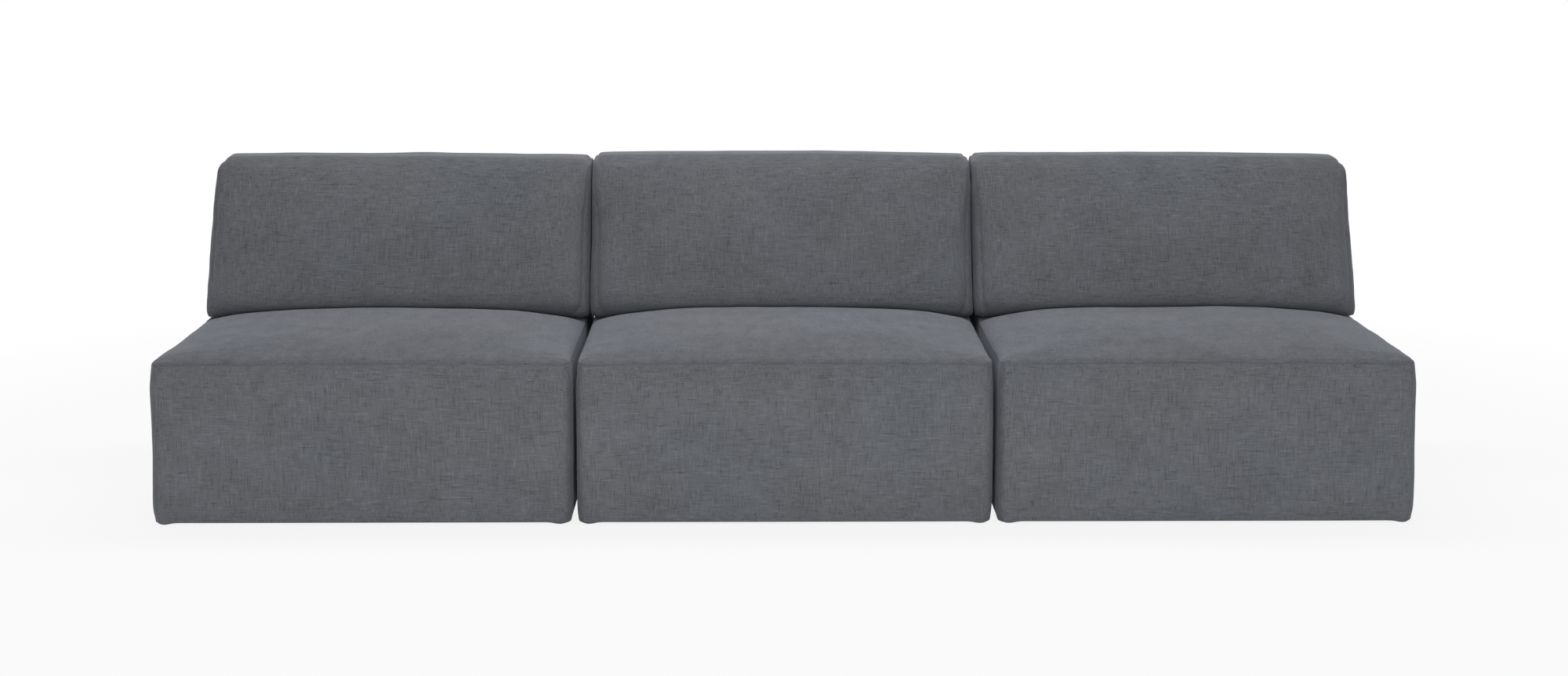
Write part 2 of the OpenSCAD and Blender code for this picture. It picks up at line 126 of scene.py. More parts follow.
def objectPoint(tree, scale):
    place = addNode(tree, "ShaderNodeTexCoord")
    inputs = {"Vector": place.outputs["Object"], "Scale": scale}
    return addNode(tree, "ShaderNodeMapping", inputs=inputs).outputs[0]


def noiseValue(tree, scale, detail=2, roughness=0.5):
    inputs = {"Vector": objectPoint(tree, scale), "Scale": 1, "Detail": detail, "Roughness": roughness}
    return addNode(tree, "ShaderNodeTexNoise", inputs=inputs).outputs[0]


# A pattern of cells, given by how many of them go into a metre
def cellPattern(tree, count, randomness=1):
    inputs = {"Vector": objectPoint(tree, (count,) * 3), "Scale": 1, "Randomness": randomness}
    return addNode(tree, "ShaderNodeTexVoronoi", inputs=inputs).outputs


def ramp(tree, value, low, high, outLow=0, outHigh=1):
    settings = {"Value": value, "From Min": low, "From Max": high, "To Min": outLow, "To Max": outHigh}
    return addNode(tree, "ShaderNodeMapRange", inputs=settings).outputs[0]


def combine(tree, operation, first, second):
    return addNode(tree, "ShaderNodeMath", {"operation": operation}, {0: first, 1: second}).outputs[0]


def absolute(tree, value):
    return addNode(tree, "ShaderNodeMath", {"operation": "ABSOLUTE"}, {0: value}).outputs[0]


def blendColours(tree, share, first, second):
    settings = {"data_type": "RGBA", "blend_type": "MIX"}
    return addNode(tree, "ShaderNodeMix", settings, {0: share, 6: first, 7: second}).outputs[2]


def bumpFrom(tree, height, strength, distance):
    inputs = {"Height": height, "Strength": strength, "Distance": distance}
    return addNode(tree, "ShaderNodeBump", inputs=inputs).outputs[0]


# Brushed weave of polyester chenille with slubs. The real threads are about 0.7 mm and too
# fine for the picture, so they are drawn 2.6 mm thick, and each slub runs for about 34 mm.
weave = {
    "colour": "#5f6165",
    "warm": "#615f62",
    "cool": "#5d6168",
    "sheen": "#b9c0cc",
    "lean": 0.49,  # how far the backs' fronts lean back for each metre of height
    "leanFacing": (-0.35, -0.05),  # facing forward, where the pattern is sheared in full and not at all
    "thread": 0.0026,
    "slub": 0.034,
    "slubShade": 0.34,
    "slubFacing": (0.6, 0.85),  # facing along the thread, where it starts to fade and is gone
    "grainSize": 1.3,  # in threads
    "grainShade": 0.08,
    "grainRelief": 0.6,
    "brushSize": 0.028,
    "brushShade": 0.05,
    "topFacing": (0.7, 0.95),  # facing up, where a face starts to count as the top and does in full
    "topStroke": 3,  # how much longer the brushed marks run from front to back on the seat
    "topShade": 0.13,
    # Painted light and shade by the top's tilt, in the next three entries
    "paintedShadeTilt": 0.12,  # the forward tilt of the top at which the painted shade is darkest
    "paintedLightLevel": -0.8,  # painted light: how much paler the top is drawn where it is level
    # how strongly the painted light and shade change the top's colour
    "paintedShadeDepth": -0.18,
    "cloudSize": 0.12,
    "cloudShade": 0.075,
    "patchSize": 2.6,  # in clouds
    "hueShare": 0.3,
}


# On a leaning front the pattern is sheared, so that upright threads run along it
def weavePoint(tree, place, slope):
    if not slope:
        return place.outputs["Object"]
    normal = addNode(tree, "ShaderNodeSeparateXYZ", inputs={"Vector": place.outputs["Normal"]})
    point = addNode(tree, "ShaderNodeSeparateXYZ", inputs={"Vector": place.outputs["Object"]})
    share = ramp(tree, normal.outputs[1], *weave["leanFacing"], slope, 0)
    level = combine(tree, "SUBTRACT", point.outputs[1], combine(tree, "MULTIPLY", point.outputs[2], share))
    inputs = {0: point.outputs[0], 1: level, 2: point.outputs[2]}
    return addNode(tree, "ShaderNodeCombineXYZ", inputs=inputs).outputs[0]


# Noise of a given size along each axis. Each pattern has its own offset, so that no two are alike.
def weaveNoise(tree, point, sizes, detail, roughness, offset):
    inputs = {"Vector": point, "Scale": tuple(1 / size for size in sizes), "Location": (offset,) * 3}
    spread = addNode(tree, "ShaderNodeMapping", inputs=inputs).outputs[0]
    inputs = {"Vector": spread, "Scale": 1, "Detail": detail, "Roughness": roughness}
    return addNode(tree, "ShaderNodeTexNoise", inputs=inputs).outputs[0]


# The same, from -1 to 1. The noise is cut off where it is further from its middle than the spread.
def weavePattern(tree, point, sizes, detail, roughness, offset, spread=0.2):
    value = weaveNoise(tree, point, sizes, detail, roughness, offset)
    return ramp(tree, value, 0.5 - spread, 0.5 + spread, -1, 1)


# Threads run along the directions that lie in the surface, so each axis fades where it points out
# of it. Most threads are even, and a few are thick or thin.
def weaveThreads(tree, point, facing):
    threads = None
    for axis in range(3):
        sizes = [weave["thread"]] * 3
        sizes[axis] = weave["slub"]
        visible = ramp(tree, absolute(tree, facing.outputs[axis]), *weave["slubFacing"], 1, 0)
        offset = 3.7 * (axis + 1)
        streak = weavePattern(tree, point, sizes, detail=1.5, roughness=0.6, offset=offset, spread=0.25)
        uneven = combine(tree, "MULTIPLY", streak, absolute(tree, streak))
        part = combine(tree, "MULTIPLY", uneven, visible)
        threads = part if threads is None else combine(tree, "ADD", threads, part)
    return threads


def wovenCover(name, slope):
    material, tree = startMaterial(name)
    place = addNode(tree, "ShaderNodeTexCoord")
    point = weavePoint(tree, place, slope)
    facing = addNode(tree, "ShaderNodeSeparateXYZ", inputs={"Vector": place.outputs["Normal"]})
    top = ramp(tree, facing.outputs[2], *weave["topFacing"])
    threads = weaveThreads(tree, point, facing)
    grainSize = weave["thread"] * weave["grainSize"]
    grain = weavePattern(tree, point, [grainSize] * 3, detail=1, roughness=0.5, offset=0, spread=0.25)
    # The pile lies over in brushed marks, and the cloth is a little uneven in tone
    brush = weave["brushSize"]
    brushed = weavePattern(tree, point, [brush] * 3, detail=3, roughness=0.65, offset=7.1)
    sizes = [brush, brush * weave["topStroke"], brush]
    strokes = weavePattern(tree, point, sizes, detail=3, roughness=0.65, offset=5.3)
    strokes = combine(tree, "MULTIPLY", strokes, top)
    cloud = weavePattern(tree, point, [weave["cloudSize"]] * 3, detail=3, roughness=0.6, offset=1.9)
    # Painted light and shade: the top is drawn paler where it is level and darker where it tilts forward,
    # standing in for how the light falls on it
    paintedTiltShade = ramp(tree, facing.outputs[1], 0, -weave["paintedShadeTilt"], weave["paintedLightLevel"], 1)
    paintedLightAndShade = combine(tree, "MULTIPLY", paintedTiltShade, top)
    patchSize = weave["cloudSize"] * weave["patchSize"]
    patches = weaveNoise(tree, point, [patchSize] * 3, detail=1, roughness=0.5, offset=11.3)
    coolness = ramp(tree, patches, 0.3, 0.7)
    hue = blendColours(tree, coolness, linearColour(weave["warm"]), linearColour(weave["cool"]))
    base = blendColours(tree, weave["hueShare"], linearColour(weave["colour"]), hue)
    shade = combine(tree, "MULTIPLY", threads, weave["slubShade"])
    shades = {
        "grainShade": grain,
        "brushShade": brushed,
        "topShade": strokes,
        "paintedShadeDepth": paintedLightAndShade,
        "cloudShade": cloud,
    }
    for amount, value in shades.items():
        shade = combine(tree, "ADD", shade, combine(tree, "MULTIPLY", value, weave[amount]))
    shade = combine(tree, "ADD", shade, 1)
    colour = addNode(tree, "ShaderNodeVectorMath", {"operation": "SCALE"}, {0: base, 3: shade}).outputs[0]
    relief = combine(tree, "ADD", threads, combine(tree, "MULTIPLY", grain, weave["grainRelief"]))
    finishMaterial(tree, {
        "Base Color": colour,
        "Roughness": 0.82,
        "Specular IOR Level": 0.18,
        "Sheen Weight": 0.35,
        "Sheen Roughness": 0.42,
        "Sheen Tint": linearColour(weave["sheen"]),
        "Normal": bumpFrom(tree, relief, 0.35, 0.0004),
    })
    return material


# Birch plywood, sawn and left raw: long pale grain and faint layers at its edges
def plywood():
    material, tree = startMaterial("rawBirchPlywood")
    grain = noiseValue(tree, (9, 260, 260), 4, 0.65)
    broad = noiseValue(tree, (3, 40, 40), 2)
    share = ramp(tree, combine(tree, "ADD", grain, combine(tree, "MULTIPLY", broad, 0.5)), 0.5, 1.05)
    colour = blendColours(tree, share, linearColour("#b8956a"), linearColour("#dcc199"))
    finishMaterial(tree, {
        "Base Color": colour,
        "Roughness": ramp(tree, grain, 0.3, 0.7, 0.6, 0.78),
        "Specular IOR Level": 0.35,
        "Normal": bumpFrom(tree, grain, 0.25, 0.0005),
    })
    return material


# Planed pine blocks: upright growth rings with darker late wood
def pineBlock():
    material, tree = startMaterial("planedPine")
    point = objectPoint(tree, (1, 1, 0.12))
    settings = {"wave_type": "RINGS", "rings_direction": "Z"}
    inputs = {"Vector": point, "Scale": 45, "Distortion": 3.5, "Detail": 3, "Detail Scale": 1.4}
    rings = addNode(tree, "ShaderNodeTexWave", settings, inputs).outputs["Fac"]
    pores = noiseValue(tree, (420, 420, 12), 2)
    colour = blendColours(tree, ramp(tree, rings, 0.2, 0.9), linearColour("#d9b07a"), linearColour("#b98350"))
    poreShare = ramp(tree, pores, 0.35, 0.65, 0, 0.25)
    finishMaterial(tree, {
        "Base Color": blendColours(tree, poreShare, colour, linearColour("#8f6a42")),
        "Roughness": 0.62,
        "Specular IOR Level": 0.35,
        "Normal": bumpFrom(tree, pores, 0.2, 0.0004),
    })
    return material


# Cut polyurethane foam: open cells of about 1.2 mm that give a sugary, matt face
def cutFoam(name, light, dark):
    material, tree = startMaterial(name)
    cells = cellPattern(tree, 830)["Distance"]
    drift = noiseValue(tree, (14, 14, 14), 3)
    share = ramp(tree, combine(tree, "ADD", cells, drift), 0.4, 1.4)
    finishMaterial(tree, {
        "Base Color": blendColours(tree, share, linearColour(dark), linearColour(light)),
        "Roughness": 0.92,
        "Specular IOR Level": 0.1,
        "Normal": bumpFrom(tree, cells, 0.5, 0.0008),
    })
    return material


# Oil-tempered spring wire: dark blued steel with a thin film of oil and a few rust freckles
def springSteel():
    material, tree = startMaterial("temperedSpringWire")
    drawn = noiseValue(tree, (60, 900, 900), 2)
    spots = ramp(tree, noiseValue(tree, (120, 120, 120), 3, 0.7), 0.62, 0.72)
    finishMaterial(tree, {
        "Base Color": blendColours(tree, spots, linearColour("#575a60"), linearColour("#6b4a35")),
        "Metallic": 1,
        "Roughness": ramp(tree, drawn, 0.3, 0.7, 0.3, 0.5),
        "Normal": bumpFrom(tree, drawn, 0.15, 0.0002),
    })
    return material


# Moulded nylon: a fine spark-eroded skin and a soft highlight
def mouldedNylon(name, colour, shadow):
    material, tree = startMaterial(name)
    skin = noiseValue(tree, (1100, 1100, 1100), 2)
    scuffs = noiseValue(tree, (35, 35, 35), 4, 0.7)
    share = ramp(tree, scuffs, 0.4, 0.75)
    finishMaterial(tree, {
        "Base Color": blendColours(tree, share, linearColour(colour), linearColour(shadow)),
        "Roughness": ramp(tree, scuffs, 0.3, 0.7, 0.42, 0.6),
        "IOR": 1.53,
        "Normal": bumpFrom(tree, skin, 0.2, 0.0001),
    })
    return material


# Spunbonded polypropylene under the seat: black felted fibres with pressed dots 3 mm apart
def spunbond():
    material, tree = startMaterial("spunbondDustCloth")
    dots = cellPattern(tree, 330, randomness=0.15)["Distance"]
    fibres = noiseValue(tree, (500, 90, 500), 3, 0.7)
    share = ramp(tree, combine(tree, "MULTIPLY", dots, fibres), 0.05, 0.4)
    finishMaterial(tree, {
        "Base Color": blendColours(tree, share, linearColour("#131316"), linearColour("#2b2b30")),
        "Roughness": 0.88,
        "Specular IOR Level": 0.2,
        "Normal": bumpFrom(tree, dots, 0.4, 0.0004),
    })
    return material


# Zinc-plated mild steel: pressed, with the mottled spangle and thin scratches of plating
def zincSteel():
    material, tree = startMaterial("zincPlatedSteel")
    spangle = cellPattern(tree, 160)["Color"]
    level = addNode(tree, "ShaderNodeSeparateXYZ", inputs={"Vector": spangle}).outputs[0]
    scratches = noiseValue(tree, (1500, 60, 300), 2)
    scratched = ramp(tree, scratches, 0.3, 0.7, 0.24, 0.36)
    finishMaterial(tree, {
        "Base Color": blendColours(tree, level, linearColour("#b4b8bc"), linearColour("#cfd2d4")),
        "Metallic": 1,
        "Roughness": combine(tree, "ADD", scratched, ramp(tree, level, 0, 1, 0, 0.1)),
        "Normal": bumpFrom(tree, scratches, 0.12, 0.0002),
    })
    return material


# Elastic furniture webbing: black rubber-cored ribs with a pale tracer thread, 4 mm apart
def elasticWebbing():
    material, tree = startMaterial("elasticWebbing")
    settings = {"wave_type": "BANDS", "bands_direction": "Z"}
    inputs = {"Vector": objectPoint(tree, (1, 1, 1)), "Scale": 80, "Distortion": 0.4}
    ribs = addNode(tree, "ShaderNodeTexWave", settings, inputs).outputs["Fac"]
    threads = noiseValue(tree, (700, 200, 200), 2)
    colour = blendColours(tree, ramp(tree, ribs, 0.2, 0.9), linearColour("#1d1d20"), linearColour("#3b3b40"))
    tracer = ramp(tree, threads, 0.6, 0.7, 0, 0.4)
    finishMaterial(tree, {
        "Base Color": blendColours(tree, tracer, colour, linearColour("#77777c")),
        "Roughness": 0.8,
        "Specular IOR Level": 0.25,
        "Normal": bumpFrom(tree, ribs, 0.5, 0.0006),
    })
    return material


seatCloth = wovenCover("brushedWeave", 0)
backCloth = wovenCover("brushedWeaveLeaning", weave["lean"])
birch = plywood()
pine = pineBlock()
seatFoam = cutFoam("seatFoam", "#efe3b8", "#d2bf86")
softFoam = cutFoam("backFoam", "#f2ead2", "#d8ccaa")
wire = springSteel()
clipNylon = mouldedNylon("clipNylon", "#d9d8d2", "#bdbbb2")
glideNylon = mouldedNylon("glideNylon", "#1b1b1d", "#303033")
dustCloth = spunbond()
plated = zincSteel()
webbing = elasticWebbing()

finishes = {
    "seat_cover": seatCloth,
    "back_cover": backCloth,
    "seat_foam": seatFoam,
    "back_foam": softFoam,
    "seat_springs": wire,
    "spring_clips": clipNylon,
    "side_panels": birch,
    "cross_panels": birch,
    "deck_board": birch,
    "corner_blocks": pine,
    "glides": glideNylon,
    "dust_cover": dustCloth,
    "links": plated,
    "back_sockets": plated,
    "back_webbing": webbing,
    "back_ribs": birch,
    "back_base_board": birch,
    "back_top_rail": birch,
    "back_panel": birch,
    "back_tongues": plated,
}
for nodeName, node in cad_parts.items():
    side, pieceName = nodeName.split("_", 1)
    node.data.materials.clear()
    node.data.materials.append(finishes[pieceName])
print("materials made")


# Modelling helpers

tolerance = 0.001  # places closer together than this count as one
seedSteps = (7.3, 3.1, 5.7)  # how far each seed moves the noise


def objectMode():
    if bpy.context.object and bpy.context.object.mode != "OBJECT":
        bpy.ops.object.mode_set(mode="OBJECT")


def deselectAll():
    objectMode()
    bpy.ops.object.select_all(action="DESELECT")


def choose(piece):
    deselectAll()
    piece.select_set(True)
    bpy.context.view_layer.objects.active = piece


def addBlock(name, low, high):
    deselectAll()
    low, high = Vector(low), Vector(high)
    bpy.ops.mesh.primitive_cube_add(size=1, location=(low + high) / 2, scale=high - low)
    piece = bpy.context.object
    piece.name = name
    bpy.ops.object.transform_apply(location=True, rotation=True, scale=True)
    return piece


def editMode(piece, kind):
    choose(piece)
    bpy.ops.object.mode_set(mode="EDIT")
    bpy.ops.mesh.select_mode(type=kind)
    bpy.ops.mesh.select_all(action="DESELECT")
    return bmesh.from_edit_mesh(piece.data)


def selectEdges(piece, test):
    form = editMode(piece, "EDGE")
    for edge in form.edges:
        edge.select = test(edge.verts[0].co, edge.verts[1].co)
    form.select_flush_mode()
    bmesh.update_edit_mesh(piece.data)


def bevelEdges(piece, width, segments, test):
    selectEdges(piece, test)
    bpy.ops.mesh.bevel(offset=width, offset_type="OFFSET", segments=segments, profile=0.5)
    objectMode()


def applyModifier(piece, kind, **settings):
    choose(piece)
    modifier = piece.modifiers.new(kind.lower(), kind)
    for key, value in settings.items():
        setattr(modifier, key, value)
    bpy.ops.object.modifier_apply(modifier=modifier.name)


def getPoints(piece):
    points = np.zeros(len(piece.data.vertices) * 3)
    piece.data.vertices.foreach_get("co", points)
    return points.reshape(-1, 3)


def getNormals(piece):
    normals = np.zeros(len(piece.data.vertices) * 3)
    piece.data.vertices.foreach_get("normal", normals)
    return normals.reshape(-1, 3)


def setPoints(piece, points):
    piece.data.vertices.foreach_set("co", np.asarray(points, np.float32).ravel())
    piece.data.update()


def smoothStep(value, low, high):
    t = np.clip((value - low) / (high - low), 0, 1)
    return t * t * (3 - 2 * t)


def quarterRound(distance, run):
    return np.sqrt(np.clip(1 - (1 - np.clip(distance, 0, run) / run) ** 2, 0, 1))


# The share of the height from low to high that each point has
def heightShare(points, low, high):
    return np.clip((points[:, 2] - low) / (high - low), 0, 1)


def fromCorner(points, half, depth):
    return np.hypot(half - np.abs(points[:, 0]), depth - np.abs(points[:, 1]))


def softNoise(points, size, seed):
    shift = Vector([seed * step for step in seedSteps])
    return np.array([noise.noise(Vector(p) / size + shift) for p in points])


# The sum of a few patterns, each given by its size, its depth and its seed
def unevenness(points, patterns, number):
    return sum(softNoise(points, size, number + seed) * depth for size, depth, seed in patterns)


# A line of clean points round the piece, cut along a plane. Points that lie near it join it.
def cutLines(piece, axis, places, snap, within=None):
    form = editMode(piece, "VERT")
    for place in places:
        for vert in form.verts:
            vert.select = within is None or within(vert.co)
        form.select_flush(True)
        bmesh.update_edit_mesh(piece.data)
        centre, direction = [0, 0, 0], [0, 0, 0]
        centre[axis], direction[axis] = place, 1
        bpy.ops.mesh.bisect(plane_co=centre, plane_no=direction, threshold=snap)
        form = bmesh.from_edit_mesh(piece.data)
        for vert in form.verts:
            if vert.select:
                vert.co[axis] = place
    bmesh.update_edit_mesh(piece.data)
    objectMode()


# Shares of a seam's width and depth
seamShares = {
    "snap": 0.24,  # points that lie this near to a cut line join it
    "line": 0.05,  # how far from its place a cut line's points are looked for
    "rise": 0.25,
}


# A sewn seam: three cut lines, of which the middle one is pulled in and the outer two stand up a little
def sewSeam(piece, axis, place, width, depth, within=None):
    lines = [place + step * width / 2 for step in (-1, 0, 1)]
    cutLines(piece, axis, lines, width * seamShares["snap"], within)
    points, normals = getPoints(piece), getNormals(piece)
    across = np.abs(points[:, axis] - place)
    near = np.ones(len(points), bool)
    if within:
        near = np.array([within(Vector(p)) for p in points])
    middle = near & (across < width * seamShares["line"])
    beside = near & (np.abs(across - width / 2) < width * seamShares["line"])
    points[middle] -= normals[middle] * depth
    points[beside] += normals[beside] * depth * seamShares["rise"]
    setPoints(piece, points)


swelling = {
    "frames": 20,
    "quality": 4,
    "mass": 0.35,
    "stretch": 18,
    "bend": 1.2,
    "sink": 0.0006,  # how far a point may still be drawn in
}


# Padded fabric: the shell swells under pressure. The whole swelling is scaled to the cap, and
# the filling keeps the edges from being drawn in.
def swell(piece, held, cap, pressure):
    start, outward = getPoints(piece), getNormals(piece)
    group = piece.vertex_groups.new(name="held")
    for level in np.unique(held):
        if level > 0:
            group.add([int(i) for i in np.flatnonzero(held == level)], float(level), "REPLACE")
    choose(piece)
    cloth = piece.modifiers.new("cloth", "CLOTH")
    cloth.settings.quality = swelling["quality"]
    cloth.settings.mass = swelling["mass"]
    cloth.settings.tension_stiffness = swelling["stretch"]
    cloth.settings.compression_stiffness = swelling["stretch"]
    cloth.settings.bending_stiffness = swelling["bend"]
    cloth.settings.use_pressure = True
    cloth.settings.uniform_pressure_force = pressure
    cloth.settings.effector_weights.gravity = 0
    cloth.settings.vertex_group_mass = group.name
    cloth.point_cache.frame_start = 1
    cloth.point_cache.frame_end = swelling["frames"]
    for step in range(1, swelling["frames"] + 1):
        bpy.context.scene.frame_set(step)
    bpy.ops.object.modifier_apply(modifier=cloth.name)
    bpy.context.scene.frame_set(1)
    piece.vertex_groups.clear()
    moved = getPoints(piece) - start
    reach = float(np.linalg.norm(moved, axis=1).max())
    moved *= min(1, cap / reach)
    sunk = np.minimum((moved * outward).sum(axis=1) + swelling["sink"], 0)
    moved -= outward * sunk[:, None]
    setPoints(piece, start + moved)
    print(piece.name, "swelled by up to", round(reach * 1000, 1), "mm before the cap")


def dress(piece, cloth, nodeName, bodyName):
    piece.data.materials.clear()
    piece.data.materials.append(cloth)
    choose(piece)
    bpy.ops.object.shade_smooth()
    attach(piece, bodyName)
    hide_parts(nodeName)


# Seat pads: the cover of a base over its foam, frame and springs

freeEnds = {"left": -1, "right": 1}  # the ends of the row, with no neighbour

seatPad = {
    "voxel": 0.0125,
    "slack": 0.0015,  # the pad starts smaller than it ends
    "edgeRadius": 0.024,
    "seamHeight": 0.376,
    "hemHeight": 0.005,
    "creaseAt": 0.145,
    "rollRise": 0.010,
    "frontRun": 0.085,
    "sideRun": 0.030,
    "crown": 0.025,
    "crownFrom": 0.9,  # the share of the height from which the top rises
    "crownRun": 0.42,
    "rearRun": 0.045,
    "rearLoss": 0.45,  # the share of its rise that the seat loses towards the crease
    "deckRise": 0.005,
    "deckDrop": 0.0078,
    "deckFrom": 0.95,  # the share of the height from which the deck is held
    "deckHold": 0.9,
    "cornerDip": 0.0044,
    "sideFall": 0.010,
    "dropRun": (0.012, 0.03),  # before and behind the crease
    "seamDraw": 0.0038,
    "hemDraw": 0.002,
    "drawRun": 0.16,  # the share of the height over which a side draws in
    "frontBulge": 0.006,
    "bulgeRun": 0.05,
    "heldBelow": 0.03,
    "outerBulge": 0.003,  # a side with no neighbour swells past its width
    "outerFlare": 0.005,
    "reach": 0.0015,  # past its own width, a quarter of the gap to the next module
    "seamBelow": 0.002,
    "seamWidth": 0.0022,
    "seamDepth": 0.0012,
    "cornerSeam": 0.016,
    "cornerSeamWidth": 0.00176,
    "cornerSeamDepth": 0.00048,
    "cornerSeamFrom": 0.3,  # how far out from the middle of the module it is cut
    "cornerSeamRun": 0.03,  # how near to the front or the rear it stays
    "cornerSeamBelow": 0.006,
    "freeHeights": (0.01, 0.06),  # where the cloth starts to hang free and does in full
    "unevenness": [(0.21, 0.0028, 1), (0.075, 0.0009, 5)],  # size, depth and seed
    "puckerDepth": 0.0009,
    "puckerSize": 0.017,
    "puckerSquash": 0.3,  # upright, puckers are longer by one over this
    "puckerSeed": 31,
    "puckerFade": 0.016,
    "cornerPucker": 2.2,  # how much deeper the puckers are at the corners
    "cornerPuckerRun": (0.02, 0.11),
    "cutHeight": 0.016,
    "cutSnap": 0.002,
    "underside": 0.00945,
    "cornerTuck": 0.003,
    "tuckRun": (0.006, 0.05),
    "tuckHeights": (0.004, 0.042),
    "tuckCurve": 1.5,
    "lumpDrop": 0.0045,
    "lumpAt": 0.028,
    "lumpWidth": 0.017,
    "cap": 0.004,
    "pressure": 4,
    "fill": 0.8,
}


def seatTop(points, half, depth):
    pad = seatPad
    x, y = np.abs(points[:, 0]), points[:, 1]
    side = half - x
    front = y + depth
    rise = 1 - (1 - np.clip(front / pad["crownRun"], 0, 1)) ** 2
    crown = pad["crown"] * (1 - np.clip(x / half, 0, 1) ** 4) * rise
    rear = 1 - quarterRound(pad["creaseAt"] - y, pad["rearRun"])
    roll = quarterRound(side, pad["sideRun"]) * quarterRound(front, pad["frontRun"])
    seat = roll * (pad["rollRise"] + crown) * (1 - pad["rearLoss"] * rear)
    deck = pad["deckRise"] * quarterRound(np.minimum(side, depth - y), pad["sideRun"])
    return np.where(y < pad["creaseAt"], seat, deck)


def seatDrop(points, half, depth):
    pad = seatPad
    x, y = np.abs(points[:, 0]), points[:, 1]
    fall = pad["cornerDip"] + pad["sideFall"] * np.clip((y + depth) / (2 * depth), 0, 1)
    seat = fall * np.clip(x / half, 0, 1) ** 3
    before, after = pad["dropRun"]
    behind = smoothStep(y, pad["creaseAt"] - before, pad["creaseAt"] + after)
    return seat * (1 - behind) + pad["deckDrop"] * behind


# A block with a crown and rolled edges, whose sides draw in to the seam and to the hem. The
# underside and the deck below the back are held while it swells.
def shapeSeat(name, half, depth):
    pad = seatPad
    start, startDepth = half - pad["slack"], depth - pad["slack"]
    piece = addBlock(name, (-start, -startDepth, pad["hemHeight"]), (start, startDepth, pad["seamHeight"]))
    bevelEdges(piece, pad["edgeRadius"], 5, lambda a, b: abs(a.z - b.z) > tolerance)
    applyModifier(piece, "REMESH", mode="VOXEL", voxel_size=pad["voxel"], adaptivity=0)
    points = getPoints(piece)
    share = heightShare(points, pad["hemHeight"], pad["seamHeight"])
    points[:, 2] += seatTop(points, start, startDepth) * smoothStep(share, pad["crownFrom"], 1)
    across = np.clip(np.abs(points[:, 0]) / start, 0, 1)
    bulge = pad["frontBulge"] * (1 - across ** 4) * np.sqrt(4 * share * (1 - share))
    points[:, 1] -= bulge * smoothStep(-points[:, 1], startDepth - pad["bulgeRun"], startDepth)
    inset = pad["seamDraw"] * smoothStep(share, 1 - pad["drawRun"], 1)
    inset += pad["hemDraw"] * (1 - smoothStep(share, 0, pad["drawRun"]))
    points[:, 0] *= 1 - inset / half
    points[:, 1] *= 1 - inset / depth
    setPoints(piece, points)
    held = np.where(points[:, 2] < pad["heldBelow"], 1.0, 0.0)
    deck = (points[:, 1] > pad["creaseAt"]) & (share > pad["deckFrom"])
    held = np.maximum(held, np.where(deck, pad["deckHold"], 0))
    swell(piece, held, pad["cap"], pad["pressure"])
    applyModifier(piece, "SUBSURF", levels=1, render_levels=1)
    return piece


# One seam runs round the top panel, and one beside each upright corner of the front and the rear
def sewSeat(piece, half, depth):
    pad = seatPad
    sewSeam(piece, 2, pad["seamHeight"] - pad["seamBelow"], pad["seamWidth"], pad["seamDepth"])
    seamTop, seamStart = pad["seamHeight"] - pad["cornerSeamBelow"], depth - pad["cornerSeamRun"]
    for way in (-1, 1):
        place = way * (half - pad["cornerSeam"])
        sewSeam(piece, 0, place, pad["cornerSeamWidth"], pad["cornerSeamDepth"],
                lambda p: abs(p.y) > seamStart and p.x * way > pad["cornerSeamFrom"] and p.z < seamTop)


# Each cover hangs a little differently, and puckers along its seam
def softenSeat(piece, side, number, centre, half, depth):
    pad = seatPad
    points, normals = getPoints(piece), getNormals(piece)
    free = smoothStep(points[:, 2], *pad["freeHeights"])
    soft = unevenness(points, pad["unevenness"], number)
    fromSeam = np.abs(points[:, 2] - pad["seamHeight"])
    nearCorner = 1 - smoothStep(fromCorner(points, half, depth), *pad["cornerPuckerRun"])
    strength = np.exp(-fromSeam / pad["puckerFade"]) * (1 + pad["cornerPucker"] * nearCorner)
    pucker = softNoise(points * (1, 1, pad["puckerSquash"]), pad["puckerSize"], number + pad["puckerSeed"])
    pucker *= pad["puckerDepth"] * strength
    points += normals * ((soft + pucker) * free)[:, None]
    height = heightShare(points, pad["hemHeight"], pad["seamHeight"])
    points[:, 2] -= seatDrop(points, half, depth) * height
    # Nothing reaches past half of the gap to the next module
    limit = half + pad["reach"]
    points[:, 0] = np.clip(points[:, 0], -limit, limit)
    way = freeEnds.get(side)
    if way:
        flare = pad["outerBulge"] + pad["outerFlare"] * (1 - height)
        points[:, 0] += way * flare * smoothStep(points[:, 0] * way, 0, half)
    points[:, 0] += centre
    setPoints(piece, points)


def makeSeat(side, number):
    nodeName = side + "_seat_cover"
    low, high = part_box(nodeName)
    half, depth = (high.x - low.x) / 2, (high.y - low.y) / 2
    piece = shapeSeat(side + "_seat_pad", half, depth)
    sewSeat(piece, half, depth)
    closeHem(piece, half, depth)
    softenSeat(piece, side, number, (low.x + high.x) / 2, half, depth)
    cutPockets(piece, side)
    dress(piece, seatCloth, nodeName, "base_" + side)


